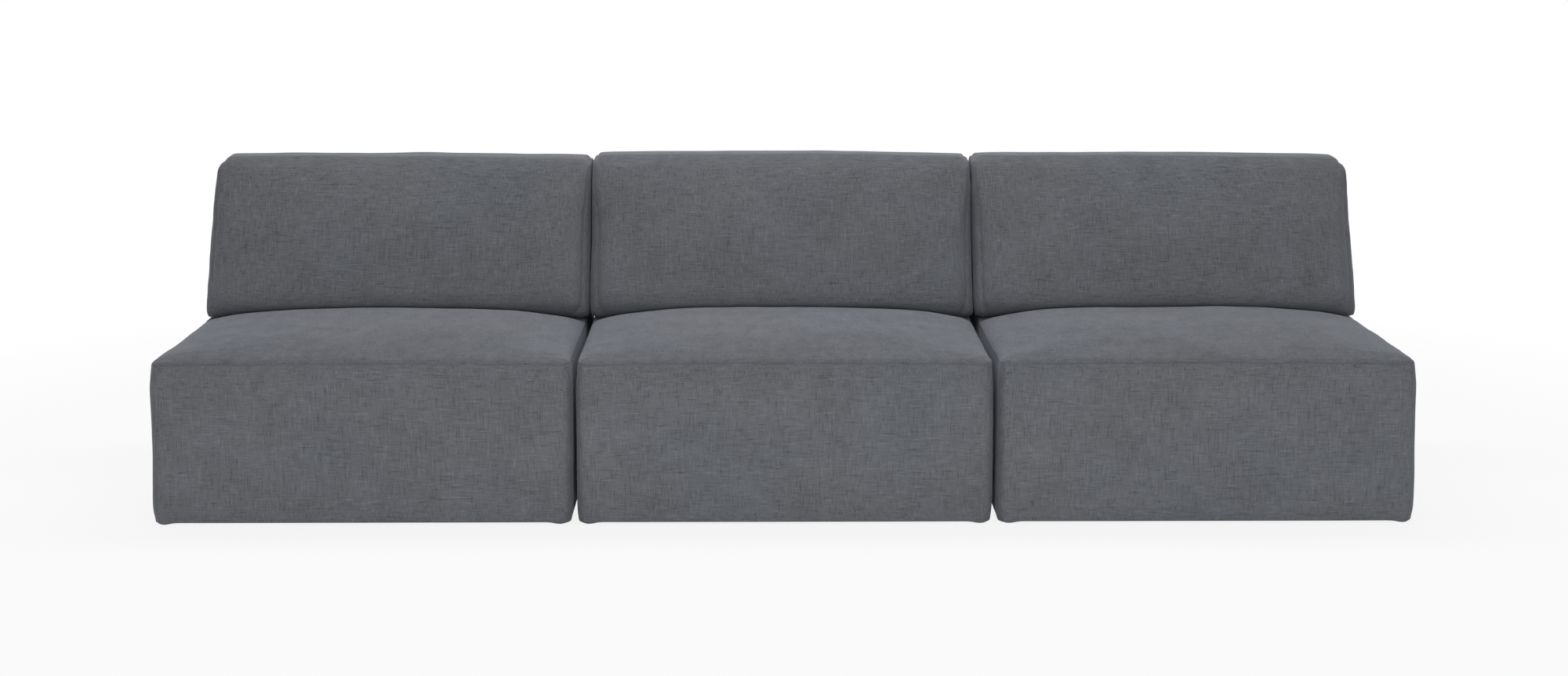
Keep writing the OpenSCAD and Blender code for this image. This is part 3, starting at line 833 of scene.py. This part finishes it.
# The lower edge turns under in a narrow lip, and the form is closed just above the dust cover.
# The cloth is folded double at the corners, so it hangs in a small lump beside each and tucks in
# under it.
def closeHem(piece, half, depth):
    pad = seatPad
    points = getPoints(piece)
    tuck = pad["cornerTuck"] * (1 - smoothStep(fromCorner(points, half, depth), *pad["tuckRun"]))
    tuck *= (1 - smoothStep(points[:, 2], *pad["tuckHeights"])) ** pad["tuckCurve"]
    points[:, 0] -= np.sign(points[:, 0]) * tuck
    points[:, 1] -= np.sign(points[:, 1]) * tuck
    setPoints(piece, points)
    editMode(piece, "EDGE")
    bpy.ops.mesh.select_all(action="SELECT")
    cutPlace = (0, 0, pad["cutHeight"])
    bpy.ops.mesh.bisect(plane_co=cutPlace, plane_no=(0, 0, 1), clear_inner=True, threshold=pad["cutSnap"])
    form = bmesh.from_edit_mesh(piece.data)
    for edge in form.edges:
        edge.select = edge.is_boundary
    form.select_flush_mode()
    bmesh.update_edit_mesh(piece.data)
    # Each turn of the lip: how far in, at what height, and what share of the lump it takes
    turns = [
        (0.0008, 0.0115, 0.7),
        (0.0010, 0.0078, 1),
        (0.0020, 0.0060, 1),
        (0.0042, 0.0062, 0.9),
        (0.0012, 0.0078, 0.3),
        (0.0002, pad["underside"], 0),
    ]
    for inward, height, share in turns:
        bpy.ops.mesh.extrude_region_move(TRANSFORM_OT_translate={"value": (0, 0, 0)})
        form = bmesh.from_edit_mesh(piece.data)
        for vert in form.verts:
            if vert.select:
                away = math.hypot(half - abs(vert.co.x), depth - abs(vert.co.y))
                lump = pad["lumpDrop"] * math.exp(-((away - pad["lumpAt"]) / pad["lumpWidth"]) ** 2)
                vert.co.x *= 1 - inward / half
                vert.co.y *= 1 - inward / depth
                vert.co.z = height - lump * share
        bmesh.update_edit_mesh(piece.data)
    bpy.ops.mesh.edge_face_add()
    bpy.ops.mesh.select_all(action="SELECT")
    bpy.ops.mesh.normals_make_consistent(inside=False)
    objectMode()


# Pockets where the links pass the sides and where the back's tongues enter the deck
pocket = {
    "linkAt": 0.24,  # before and behind the middle of the side
    "linkHalf": 0.026,
    "linkIn": 0.036,  # into the module, and out past its side
    "linkOut": 0.01,
    "linkLow": -0.01,
    "linkHigh": 0.058,
    "tongueIn": 0.02,  # from the tongues' outer edges
    "tongueHalf": 0.0205,
    "tongueRoom": 0.0005,
    "tongueLow": 0.33,
    "tongueHigh": 0.4,
}


def cutPockets(piece, side):
    low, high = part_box(side + "_seat_cover")
    centre, half = (low.x + high.x) / 2, (high.x - low.x) / 2
    boxes = []
    for way in (-1, 1):
        if freeEnds.get(side) == way:
            continue
        reaches = (half - pocket["linkIn"], half + pocket["linkOut"])
        inner, outer = sorted(centre + way * reach for reach in reaches)
        for y in (-pocket["linkAt"], pocket["linkAt"]):
            boxes.append(((inner, y - pocket["linkHalf"], pocket["linkLow"]),
                          (outer, y + pocket["linkHalf"], pocket["linkHigh"])))
    low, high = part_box(side + "_back_tongues")
    for x in (low.x + pocket["tongueIn"], high.x - pocket["tongueIn"]):
        boxes.append(((x - pocket["tongueHalf"], low.y - pocket["tongueRoom"], pocket["tongueLow"]),
                      (x + pocket["tongueHalf"], high.y + pocket["tongueRoom"], pocket["tongueHigh"])))
    cutters = [addBlock("cutter", *box) for box in boxes]
    deselectAll()
    for cutter in cutters:
        cutter.select_set(True)
    bpy.context.view_layer.objects.active = cutters[0]
    bpy.ops.object.join()
    cutter = bpy.context.object
    applyModifier(piece, "BOOLEAN", operation="DIFFERENCE", object=cutter, solver="EXACT")
    bpy.data.objects.remove(cutter)


# Back pads: wedges that lean on their own frames

backPad = {
    "voxel": 0.0115,
    "slack": 0.001,
    "topIn": 0.0035,
    "rearIn": 0.002,
    "footAt": 0.120,
    "crestDepth": 0.150,
    "footRound": 0.078,
    "browRound": 0.028,
    "napeRound": 0.031,
    "heelRound": 0.027,
    "endRound": 0.012,
    "cheekRound": 0.050,
    "cheekTop": 0.014,
    "cheekHeights": (0.55, 0.95),  # shares of the height over which the cheek turns into its top
    "endWidth": 0.06,
    "faceShare": 0.9,  # this share of the points at the end lies behind the face
    "faceCrown": 0.025,
    "topCrown": 0.003,
    "topFrom": 0.8,
    "loftFrom": 0.6,
    "heldBelow": 0.012,
    "shoulderDrop": 0.002,
    "shoulderRun": 0.095,
    "outerCorner": (0.036, 0.026),  # at the front and at the rear
    "innerCorner": (0.040, 0.024),
    "innerPress": 0.009,  # how much wider the corner would be with no neighbour
    "contact": 0.0029,  # how far past its own width a pad swells, which is 0.2 mm short of the next
    "contactRun": 0.03,
    "taperRun": 0.20,
    "taperPast": 0.03,  # how far above the top the taper would reach its full depth
    "seamIn": 0.010,
    "seamWidth": 0.005,
    "seamDepth": 0.0012,
    "freeShares": (0.02, 0.12),  # shares of the height where the cloth starts to be free and is
    "unevenness": [(0.24, 0.0032, 11), (0.08, 0.0010, 17)],  # size, depth and seed
    "cap": 0.005,
    "pressure": 4,
    "fill": 0.75,
}

# How far each back's filling lifts its top, and how much of that is lost towards the right end
lofts = {"left": (0.001, 0.002), "middle": (0.006, 0.002), "right": (0.001, 0.004)}

# How far each free end of the row leans in near its top
endTaper = {"left": 0.013, "right": 0.005}

# Places where the wrap is gathered at an end: side, end, lowest and highest share of the height, depth
gathers = [
    ("left", -1, 0.40, 0.92, 0.0022),
    ("left", 1, 0.55, 0.95, 0.0010),
    ("middle", -1, 0.60, 0.95, 0.0008),
    ("middle", 1, 0.30, 0.92, 0.0016),
    ("right", -1, 0.45, 0.95, 0.0016),
    ("right", 1, 0.35, 0.90, 0.0009),
]

# How the folds of a gather run
gathering = {
    "size": 0.0115,
    "squash": 0.16,  # along the end, folds are longer by one over this
    "seed": 37,
    "start": (0.004, 0.016),  # in from the end
    "stop": (0.022, 0.060),
    "lowFade": (0.12, 0.08),  # shares of the height below and above a gather's lowest and highest
    "highFade": (0.08, 0.05),
    "fineSize": 0.03,
    "fineSquash": 0.8,
    "fineDepth": 0.0008,
    "fineSeed": 23,
    "fineRun": (0.01, 0.05),
}


# A square edge, where a face towards one direction meets the end, is drawn in to a round one.
# Where a neighbour is in the way, the flat end cuts the round short.
def roundEdge(points, way, half, direction, limit, radius, press=0):
    outX = np.clip(points[:, 0] * way - half + radius - press, 0, None)
    out = np.clip(points @ np.array(direction) - limit + radius, 0, None)
    edgeShare = np.maximum(outX / (radius - press), out / radius)
    edgeLength = np.hypot(outX, out) / np.maximum(edgeShare, 1e-9)
    scale = np.where(edgeShare > 0, np.minimum(1, radius / np.maximum(edgeLength, 1e-9)), 1)
    points[:, 0] -= way * outX * (1 - scale)
    points -= (out * (1 - scale))[:, None] * np.array(direction)


# A block whose front leans back to the crest, with rounded edges and crowned faces. Its foot is
# held while it swells.
def shapeBack(side, half, top, rear, foot):
    pad = backPad
    start, crest = half - pad["slack"], rear - pad["crestDepth"]
    piece = addBlock(side + "_back_pad", (-start, pad["footAt"], foot), (start, rear, top))
    form = editMode(piece, "VERT")
    for vert in form.verts:
        vert.select = vert.co.z > top - tolerance and vert.co.y < rear - tolerance
    form.select_flush_mode()
    bmesh.update_edit_mesh(piece.data)
    bpy.ops.transform.translate(value=(0, crest - pad["footAt"], 0))
    edges = [
        (pad["footRound"], lambda p: p.z < foot + tolerance and p.y < rear - tolerance),
        (pad["browRound"], lambda p: p.z > top - tolerance and abs(p.y - crest) < tolerance),
        (pad["napeRound"], lambda p: p.z > top - tolerance and p.y > rear - tolerance),
        (pad["heelRound"], lambda p: p.z < foot + tolerance and p.y > rear - tolerance),
    ]
    for width, test in edges:
        bevelEdges(piece, width, 4, lambda a, b: abs(a.x - b.x) > tolerance and test(a))
    bevelEdges(piece, pad["endRound"], 4,
               lambda a, b: abs(a.x - b.x) < tolerance and abs(a.x) > start - tolerance)
    applyModifier(piece, "REMESH", mode="VOXEL", voxel_size=pad["voxel"], adaptivity=0)

    points, normals = getPoints(piece), getNormals(piece)
    height = heightShare(points, foot, top)
    across = np.clip(np.abs(points[:, 0]) / start, 0, 1)
    middle = (1 - across ** 4) * 4 * height * (1 - height)
    points[:, 1] -= pad["faceCrown"] * middle * np.clip(-normals[:, 1], 0, 1)
    loft, loss = lofts[side]
    points[:, 2] += (loft - loss * points[:, 0] / start) * smoothStep(height, pad["loftFrom"], 1)
    crown = pad["topCrown"] * (1 - across ** 2) * np.clip(normals[:, 2], 0, 1)
    points[:, 2] += crown * smoothStep(height, pad["topFrom"], 1)
    setPoints(piece, points)
    held = np.where(points[:, 2] < foot + pad["heldBelow"], 1.0, 0.0)
    swell(piece, held, pad["cap"], pad["pressure"])
    applyModifier(piece, "SUBSURF", levels=1, render_levels=1)
    return piece


# Folds that run along the ends, and a finer unevenness beside them
def gatherFolds(points, side, number, half, height):
    fold = gathering
    fine = softNoise(points * (fold["fineSquash"], 1, 1), fold["fineSize"], number + fold["fineSeed"])
    fine *= fold["fineDepth"]
    streak = softNoise(points * (1, fold["squash"], fold["squash"]), fold["size"], number + fold["seed"])
    lowBelow, lowAbove = fold["lowFade"]
    highBelow, highAbove = fold["highFade"]
    folds = np.zeros(len(points))
    for name, way, lowest, highest, deep in gathers:
        if name == side:
            inward = half - points[:, 0] * way
            place = smoothStep(inward, *fold["start"]) * (1 - smoothStep(inward, *fold["stop"]))
            span = smoothStep(height, lowest - lowBelow, lowest + lowAbove)
            span *= 1 - smoothStep(height, highest - highBelow, highest + highAbove)
            folds += streak * deep * place * span
            folds += fine * (1 - smoothStep(inward, *fold["fineRun"]))
    return folds


# Shoulders, rounded corners and the taper of the row's free ends
def shapeEnds(points, side, half, top, rear, foot, height):
    pad = backPad
    loft, loss = lofts[side]
    crest = rear - pad["crestDepth"]
    end = np.clip((np.abs(points[:, 0]) - half + pad["shoulderRun"]) / pad["shoulderRun"], 0, 1)
    points[:, 2] -= pad["shoulderDrop"] * end ** 2 * height ** 4
    lean = math.atan2(crest - pad["footAt"], top - foot)
    outward = (0, -math.cos(lean), math.sin(lean))
    deep = smoothStep(points[:, 1], crest, rear)
    corners = (pad["outerCorner"], pad["innerCorner"])
    outer, inner = [front * (1 - deep) + behind * deep for front, behind in corners]
    higher = smoothStep(height, *pad["cheekHeights"])
    cheek = pad["cheekRound"] + (pad["cheekTop"] - pad["cheekRound"]) * higher
    for way in (-1, 1):
        ends = points[:, 0] * way > half - pad["endWidth"]
        face = np.quantile(points[ends] @ np.array(outward), pad["faceShare"])
        roundEdge(points, way, half, outward, face, cheek)
        roof = top + loft - loss * way
        if freeEnds.get(side) == way:
            reach = smoothStep(points[:, 2], top - pad["taperRun"], top + pad["taperPast"])
            reach *= smoothStep(points[:, 0] * way, 0, half)
            points[:, 0] -= way * endTaper[side] * reach
            roundEdge(points, way, half - endTaper[side], (0, 0, 1), roof, outer)
        else:
            # The end swells until it all but meets the next back
            reach = smoothStep(points[:, 0] * way, half - pad["contactRun"], half)
            points[:, 0] += way * pad["contact"] * reach
            roundEdge(points, way, half, (0, 0, 1), roof, inner, pad["innerPress"])
    limit = half + pad["contact"]
    points[:, 0] = np.clip(points[:, 0], -limit, limit)
    points[:, 2] = np.maximum(points[:, 2], foot)


def makeBack(side, number):
    pad = backPad
    nodeName = side + "_back_cover"
    low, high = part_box(nodeName)
    half = (high.x - low.x) / 2
    top, rear, foot = high.z - pad["topIn"], high.y - pad["rearIn"], low.z
    piece = shapeBack(side, half, top, rear, foot)

    # A seam joins each end panel to the wrap, and is lost in the rounded corners
    for way in (-1, 1):
        sewSeam(piece, 0, way * (half - pad["seamIn"]), pad["seamWidth"], pad["seamDepth"],
                lambda p: p.x * way > 0 and p.z < top - pad["outerCorner"][0])

    points, normals = getPoints(piece), getNormals(piece)
    height = heightShare(points, foot, top)
    free = smoothStep(height, *pad["freeShares"])
    soft = unevenness(points, pad["unevenness"], number)
    folds = gatherFolds(points, side, number, half, height)
    points += normals * ((soft + folds) * free)[:, None]
    shapeEnds(points, side, half, top, rear, foot, height)
    points[:, 0] += (low.x + high.x) / 2
    setPoints(piece, points)
    dress(piece, backCloth, nodeName, "back_" + side)


for number, side in enumerate(moduleNames):
    makeSeat(side, number)
    makeBack(side, number)
    print(side, "module padded")


# Floor and light

studio = {
    "floorSize": 14,
    "floorColour": "#f4f4f4",
    "floorRoughness": 0.9,
    "fadeFrom": 1.8,
    "fadeTo": 3.4,
    "whiteShare": 0.86,  # how much of the floor's tone, seen directly, is plain white
    "ambient": 0.41,
}


def seenDirectly(tree):
    path = addNode(tree, "ShaderNodeLightPath")
    seen = combine(tree, "MAXIMUM", path.outputs["Is Camera Ray"], path.outputs["Is Glossy Ray"])
    return combine(tree, "MAXIMUM", seen, path.outputs["Is Transmission Ray"])


def mixShaders(tree, share, first, second):
    inputs = {0: share, 1: first.outputs[0], 2: second.outputs[0]}
    return addNode(tree, "ShaderNodeMixShader", inputs=inputs)


def makeFloor():
    deselectAll()
    bpy.ops.mesh.primitive_plane_add(size=studio["floorSize"], location=(0, 0, 0))
    floor = bpy.context.object
    floor.name = "floor"
    bpy.ops.object.transform_apply(location=True, rotation=True, scale=True)
    material, tree = startMaterial("paleStudioFloor")
    place = addNode(tree, "ShaderNodeTexCoord").outputs["Object"]
    away = addNode(tree, "ShaderNodeVectorMath", {"operation": "LENGTH"}, {0: place}).outputs["Value"]
    inputs = {"Value": away, "From Min": studio["fadeFrom"], "From Max": studio["fadeTo"]}
    fade = addNode(tree, "ShaderNodeMapRange", {"interpolation_type": "SMOOTHSTEP"}, inputs).outputs[0]
    inputs = {
        "Base Color": linearColour(studio["floorColour"]),
        "Roughness": studio["floorRoughness"],
        "Specular IOR Level": 0.1,
    }
    surface = addNode(tree, "ShaderNodeBsdfPrincipled", inputs=inputs)
    white = addNode(tree, "ShaderNodeEmission", inputs={"Color": (1, 1, 1, 1), "Strength": 1})
    lift = combine(tree, "MULTIPLY", seenDirectly(tree), studio["whiteShare"])
    clear = addNode(tree, "ShaderNodeBsdfTransparent")
    mixed = mixShaders(tree, fade, mixShaders(tree, lift, surface, white), clear)
    addNode(tree, "ShaderNodeOutputMaterial", inputs={"Surface": mixed.outputs[0]})
    floor.data.materials.append(material)


def makeWorld():
    world = bpy.data.worlds.new("studio")
    bpy.context.scene.world = world
    world.use_nodes = True
    tree = world.node_tree
    tree.nodes.clear()
    strength = ramp(tree, seenDirectly(tree), 0, 1, studio["ambient"], 1)
    light = addNode(tree, "ShaderNodeBackground", inputs={"Color": (1, 1, 1, 1), "Strength": strength})
    addNode(tree, "ShaderNodeOutputWorld", inputs={"Surface": light.outputs[0]})


lamps = {
    "rearBox": {"place": (0, 1.2, 3.2), "aim": (0, 0.1, 0.5), "size": (5.0, 1.2), "power": 33},
    "nearBox": {"place": (0, 0.5, 2.4), "aim": (0, 0.1, 0.5), "size": (3.6, 0.8), "power": 20},
    "lowBox": {"place": (0, -4.5, 0.45), "aim": (0, 0, 0.35), "size": (5.5, 0.8), "power": 106},
}


def makeLamp(name, lamp):
    data = bpy.data.lights.new(name, "AREA")
    data.shape = "RECTANGLE"
    data.size, data.size_y = lamp["size"]
    data.energy = lamp["power"]
    light = bpy.data.objects.new(name, data)
    bpy.context.scene.collection.objects.link(light)
    light.location = lamp["place"]
    light.rotation_euler = (Vector(lamp["aim"]) - Vector(lamp["place"])).to_track_quat("-Z", "Y").to_euler()


makeFloor()
makeWorld()
for name, lamp in lamps.items():
    makeLamp(name, lamp)
bpy.context.scene.view_settings.view_transform = "Standard"
print("floor and light set")
